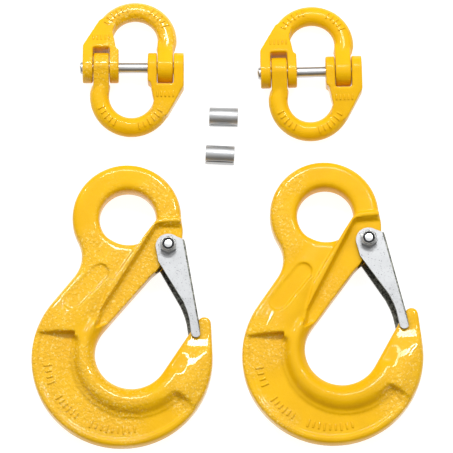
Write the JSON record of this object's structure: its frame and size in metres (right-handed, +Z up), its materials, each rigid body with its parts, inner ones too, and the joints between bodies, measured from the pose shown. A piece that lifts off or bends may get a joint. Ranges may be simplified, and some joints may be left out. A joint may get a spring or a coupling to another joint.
{
  "type": "chain sling fitting set",
  "caption": "Chain sling fittings laid flat: eye sling hooks with sprung latches, hinged two-part coupling links with load pins, and loose slit locking sleeves.",
  "frame": {"origin": "middle of the kit's footprint, on the surface it lies on", "axes": "+Z up from the surface; +Y from the hooks' bowls towards their eyes and the coupling links; +X towards the right hook"},
  "size_m": [0.2064, 0.2468, 0.0214],
  "materials": {
    "yellow_enamel": "glossy warm yellow enamel over rough forged steel",
    "bright_zinc": "bright zinc-plated pressed sheet",
    "zinc": "zinc-plated turned steel",
    "black_nylon": "matt black nylon",
    "spring_steel": "dark oiled spring steel"
  },
  "bodies": {
    "left_hook": {"left_hook_body": "yellow_enamel", "left_latch_bolt": "zinc", "left_lock_nut": "zinc", "left_nut_insert": "black_nylon", "left_latch_spring": "spring_steel"},
    "left_latch": {"left_latch": "bright_zinc"},
    "right_hook": {"right_hook_body": "yellow_enamel", "right_latch_bolt": "zinc", "right_lock_nut": "zinc", "right_nut_insert": "black_nylon", "right_latch_spring": "spring_steel"},
    "right_latch": {"right_latch": "bright_zinc"},
    "left_link_lower": {"left_lower_half_link": "yellow_enamel"},
    "left_link_upper": {"left_upper_half_link": "yellow_enamel"},
    "left_pin": {"left_load_pin": "zinc"},
    "right_link_lower": {"right_lower_half_link": "yellow_enamel"},
    "right_link_upper": {"right_upper_half_link": "yellow_enamel"},
    "right_pin": {"right_load_pin": "zinc"},
    "upper_sleeve": {"upper_sleeve": "zinc"},
    "lower_sleeve": {"lower_sleeve": "zinc"}
  },
  "joints": [
    {"name": "right_hook_lift", "type": "slide", "parent": "left_hook", "child": "right_hook", "axis": [0, 0, 1], "range_m": [0, 0.08]},
    {"name": "left_latch_hinge", "type": "hinge", "parent": "left_hook", "child": "left_latch", "pos_m": [-0.03125, -0.01535, 0.0095], "axis": [0, 0, -1], "range_deg": [0, 55], "stiffness_Nm_per_rad": 0.02, "springref_deg": -20.05, "deforming": ["left_latch_spring"]},
    {"name": "right_latch_hinge", "type": "hinge", "parent": "right_hook", "child": "right_latch", "pos_m": [0.0747, -0.01196, 0.0095], "axis": [0, 0, -1], "range_deg": [0, 55], "stiffness_Nm_per_rad": 0.02, "springref_deg": -20.05, "deforming": ["right_latch_spring"]},
    {"name": "left_link_lift", "type": "slide", "parent": "left_hook", "child": "left_link_lower", "axis": [0, 0, 1], "range_m": [0, 0.08]},
    {"name": "left_link_swivel", "type": "hinge", "parent": "left_link_lower", "child": "left_link_upper", "pos_m": [-0.05045, 0.08595, 0.00825], "axis": [1, 0, 0], "range_deg": [0, 75]},
    {"name": "left_pin_slide", "type": "slide", "parent": "left_link_lower", "child": "left_pin", "axis": [-1, 0, 0], "range_m": [0, 0.058]},
    {"name": "right_link_lift", "type": "slide", "parent": "left_hook", "child": "right_link_lower", "axis": [0, 0, 1], "range_m": [0, 0.08]},
    {"name": "right_link_swivel", "type": "hinge", "parent": "right_link_lower", "child": "right_link_upper", "pos_m": [0.04485, 0.08365, 0.00825], "axis": [0.9996, 0.0279, 0], "range_deg": [0, 75]},
    {"name": "right_pin_slide", "type": "slide", "parent": "right_link_lower", "child": "right_pin", "axis": [0.9996, 0.0279, 0], "range_m": [0, 0.058]},
    {"name": "upper_sleeve_lift", "type": "slide", "parent": "left_hook", "child": "upper_sleeve", "axis": [0, 0, 1], "range_m": [0, 0.08]},
    {"name": "lower_sleeve_lift", "type": "slide", "parent": "left_hook", "child": "lower_sleeve", "axis": [0, 0, 1], "range_m": [0, 0.08]}
  ]
}
